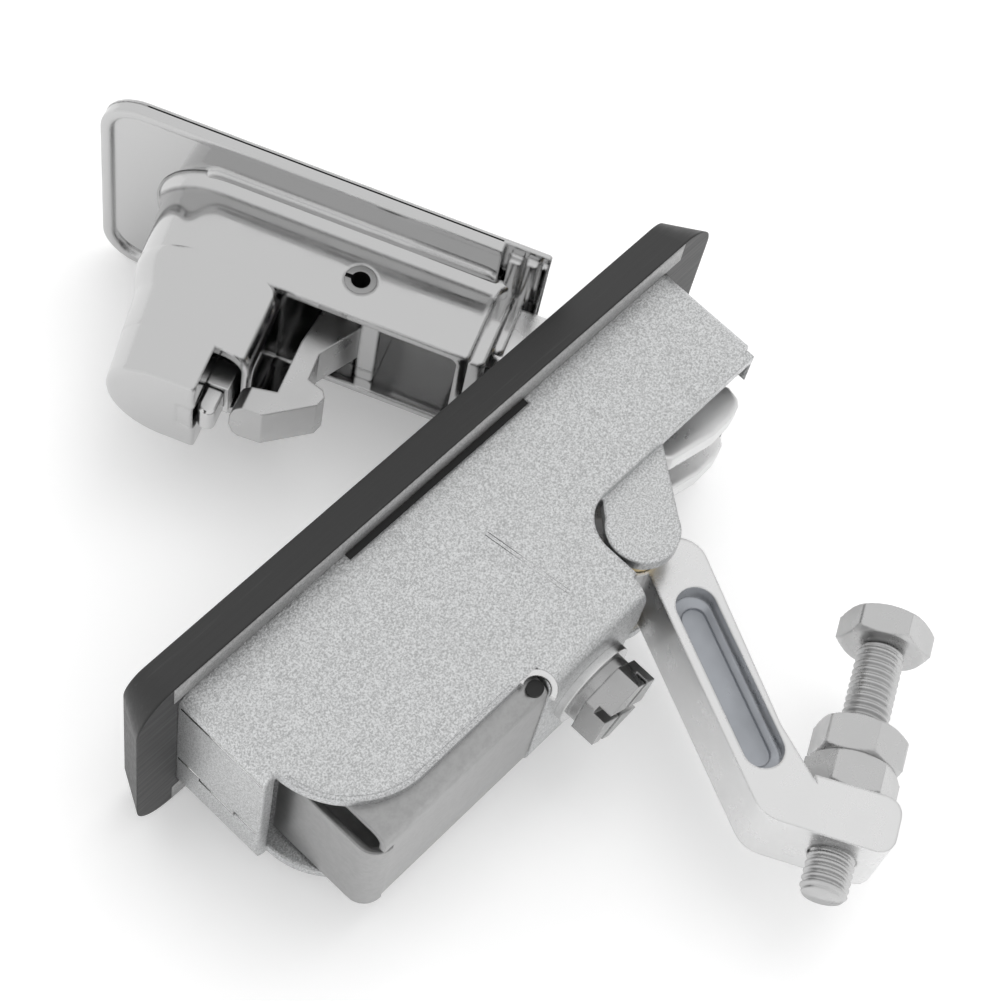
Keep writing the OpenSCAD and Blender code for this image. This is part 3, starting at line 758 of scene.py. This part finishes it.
def hook_head():
    bm = bmesh.new()
    rings = []
    for z, reach in HOOK_REACH:
        rings.append([(reach if s > HOOK_END_FROM else s, n, z) for s, n in HOOK_OUTLINE])
    loft(bm, rings)
    prism(bm, ellipse(HOOK_PIN_S, HOOK_PIN_N, HOOK_EYE_R, HOOK_EYE_R, 32), -HOOK_HALF, HOOK_HALF, 0.2)
    hook = finish_piece("hook_head", bm, "hook_zinc", "hook", OWN_AXES)
    combine(hook, [solid(ellipse(HOOK_PIN_S, HOOK_PIN_N, HOOK_BORE_R, HOOK_BORE_R, 40), -CUT_HALF, CUT_HALF)])
    hook.data.transform(HANDLE_AXES)
    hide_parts("hook_lever")


def lock_bolt_toe():
    bm = bmesh.new()
    levels = ((-3.0, 0.4), (-2.6, 0.0), (2.6, 0.0), (3.0, 0.4))
    radii = (1.3, 1.3, 0.1, 0.1)
    loft(bm, [[(x, y, z) for x, y in round_rect(43.7 + q, 46.8 - q, 32.4, 37.2 - q, radii, 5)]
              for z, q in levels])
    finish_piece("lock_bolt_toe", bm, "lock_steel", "lock_bolt", HANDLE_AXES)


# Deep box: one folded sheet with an open corner at its near end

BOX_X0, BOX_X1, BOX_Y0, BOX_Y1, BOX_HALF, BOX_T = 14.35, 52.4, 17.0, 37.8, 15.8, 1.2
BOX_FOLD_R, END_FOLD_R, END_FOLD_X = 2.9, 3.8, 48.6
NEAR_LIP_Z = 11.2


def fold(radius, flip=1):
    """One side of the box in (y, z) with its fold, of this radius, at the back."""
    edge = BOX_HALF - (BOX_FOLD_R - radius)
    back = arc(BOX_Y1 - BOX_FOLD_R, BOX_HALF - BOX_FOLD_R, radius, 90, 0)
    return [(y, flip * z) for y, z in [(BOX_Y0, edge)] + back]


def deep_box_sheet():
    upper = fold(BOX_FOLD_R)
    upper_in = list(reversed(fold(BOX_FOLD_R - BOX_T)))
    lower = list(reversed(fold(BOX_FOLD_R, -1)))
    lower_in = fold(BOX_FOLD_R - BOX_T, -1)
    bm = bmesh.new()
    along(bm, upper + lower + lower_in + upper_in, "x", BOX_X0, END_FOLD_X)
    box = finish_piece("deep_box_sheet", bm, "box_sheet", "base", OWN_AXES)
    lip = [(BOX_Y1, NEAR_LIP_Z), (BOX_Y1 - BOX_T, NEAR_LIP_Z)]
    near_end = bmesh.new()
    along(near_end, upper + lip + upper_in, "x", 47.5, 50.7)
    corner = [(48.5, BOX_Y1)] + arc(END_FOLD_X, BOX_Y1 - END_FOLD_R, END_FOLD_R, 90, 0)
    corner += [(BOX_X1, BOX_Y0), (BOX_X1 - BOX_T, BOX_Y0)]
    corner += arc(END_FOLD_X, BOX_Y1 - END_FOLD_R, END_FOLD_R - BOX_T, 0, 90) + [(48.5, BOX_Y1 - BOX_T)]
    combine(box, [near_end, solid(corner, -14.9, 9.4)], "UNION")
    box.data.transform(MM_AXES)
    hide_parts("deep_box")


# Bracket trim: bead along the free edge, curled lip at the relief, painted shade as near-black strips in the
# slot, the relief hole and the tab's seam and groove, and painted highlight as bright strips beside them

SIDE_Z = 17.8
TAB_X = 57.7
# Steps of the tab's seam: start and end in y, and z of its near-black strip of painted shade
SEAM_STEPS = ((0.3, 5.2, -6.2), (5.2, 13.1, -7.3), (13.1, 18.2, -6.2))
HIGHLIGHT_LIFT = 0.3
SHADE_HALF, HIGHLIGHT_HALF = 0.14, 0.16
# X of both faces of the painted-shade strips and of the painted-highlight strips on the tab; its top edge is
# 0.01 mm lower
SHADE_X, HIGHLIGHT_X = (TAB_X, 57.83), (57.6, 57.87)
TOP_SHADE_X, TOP_HIGHLIGHT_X = (TAB_X, 57.82), (57.6, 57.86)
SCRATCH_Z0, SCRATCH_Z1, SCRATCH_GAP = 17.9, 18.012, 0.7
STRIP_X0, STRIP_X1, STRIP_Y0, STRIP_Y1 = -58.5, 58.8, -0.05, 0.1
STRIP_Z0, STRIP_Z1 = 18.15, 23.25


def bead(name, path, r, mat, around=10):
    """A round bead along a path that lies in a plane across Z."""
    rings = []
    across = Vector(ACROSS)
    for i, point in enumerate(path):
        before = Vector(path[max(0, i - 1)])
        after = Vector(path[min(len(path) - 1, i + 1)])
        out = (after - before).normalized().cross(across).normalized()
        angles = [2 * math.pi * k / around for k in range(around)]
        rings.append([tuple(Vector(point) + r * (out * math.cos(a) + across * math.sin(a))) for a in angles])
    bm = bmesh.new()
    loft(bm, rings)
    finish_piece(name, bm, mat, "base", MM_AXES, 60)


def bracket_beads():
    straight = [(x, 33.75) for x in (19.2, 24, 30, 36)]
    path = straight + arc(39.4, 18.3, 15.45, 90, 8, 20)
    bead("free_edge_bead", [(x, y, SIDE_Z) for x, y in path], 0.42, "zinc_sheet")
    bead("relief_lip", [(x, y, 17.35) for x, y in arc(16.4, 36.7, 2.75, 100, 300, 20)], 0.62, "zinc_bright")


# Near-black pieces that paint the shade in the slot by the flange, the hole at the relief, the seam and the
# groove
def bracket_painted_shade():
    bm = bmesh.new()
    along(bm, ellipse(16.1, 36.2, 1.5, 1.4, 24), "z", 15.6, 16.3)
    root = rectangle(-19.3, 0.05, 22.1, 1.25)
    along(bm, root, "z", 17.56, SIDE_Z)
    along(bm, root, "z", -SIDE_Z, -17.56)
    for y0, y1, z in SEAM_STEPS:
        along(bm, rectangle(y0, z - SHADE_HALF, y1, z + SHADE_HALF), "x", *SHADE_X)
    for y in (5.1, 13.0):
        along(bm, rectangle(y, -7.4, y + 0.25, -6.1), "x", *SHADE_X)
    along(bm, rectangle(0.6, 14.9, 18.4, 15.1), "x", *TOP_SHADE_X)
    finish_piece("bracket_painted_shade", bm, "painted_shade_black", "base", MM_AXES)


# Bright strips beside the seam and the groove: painted highlight on their edges
def tab_seam_highlights():
    bm = bmesh.new()
    for y0, y1, z in SEAM_STEPS:
        middle = z + HIGHLIGHT_LIFT
        along(bm, rectangle(y0, middle - HIGHLIGHT_HALF, y1, middle + HIGHLIGHT_HALF), "x", *HIGHLIGHT_X)
    along(bm, rectangle(0.6, 15.1, 18.4, 15.45), "x", *TOP_HIGHLIGHT_X)
    finish_piece("tab_seam_highlights", bm, "zinc_bright", "base", MM_AXES)


def sheet_scratches():
    bm = bmesh.new()
    for shift in (0.0, SCRATCH_GAP):
        line = [(2.6 + shift, 12.9), (2.72 + shift, 12.9), (0.6 + shift, 29.0), (0.48 + shift, 29.0)]
        along(bm, line, "z", SCRATCH_Z0, SCRATCH_Z1)
    finish_piece("sheet_scratches", bm, "zinc_bright", "base", MM_AXES)


# Light grey strips along the flange's back edges: painted reflection of a bright surround in the satin black
# edge
def bezel_reflection_strip(name, z0, z1):
    bm = bmesh.new()
    along(bm, rectangle(STRIP_X0, STRIP_Y0, STRIP_X1, STRIP_Y1), "z", z0, z1)
    finish_piece(name, bm, "bezel_painted_reflection", "base", MM_AXES)


# Floors of the two arm pockets, coloured darker and bluer than the arm as painted shade in the recesses

def pocket_floor(name, side):
    bm = bmesh.new()
    outline = arc(-5.1, -10.3, 3.5, 0, 180, 16) + arc(-5.1, -36.5, 3.5, 180, 360, 16)
    inner = arc(-5.4, -10.9, 2.1, 0, 180, 16) + arc(-5.4, -36.0, 2.1, 180, 360, 16)
    levels = ((outline, 1.9), (outline, 4.2), (inner, 3.3), (inner, 2.7))
    loft(bm, [[(x, y, side * z) for x, y in ring] for ring, z in levels])
    finish_piece(name, bm, "pocket_painted_shade", "arm", ARM_AXES, 50)


bolt_set()
handle_plate()
handle_body()
handle_ribs()
handle_nose()
handle_nose_tip()
handle_far_wall()
crank_bosses()
hinge_lug("handle_lug_far", -LUG_Z1, -LUG_Z0)
hinge_lug("handle_lug_near", LUG_Z0, LUG_Z1)
hook_head()
lock_bolt_toe()
deep_box_sheet()
bracket_beads()
bracket_painted_shade()
tab_seam_highlights()
sheet_scratches()
bezel_reflection_strip("bezel_reflection_strip_near", STRIP_Z0, STRIP_Z1)
bezel_reflection_strip("bezel_reflection_strip_far", -STRIP_Z1, -STRIP_Z0)
pocket_floor("pocket_floor_near", 1)
pocket_floor("pocket_floor_far", -1)
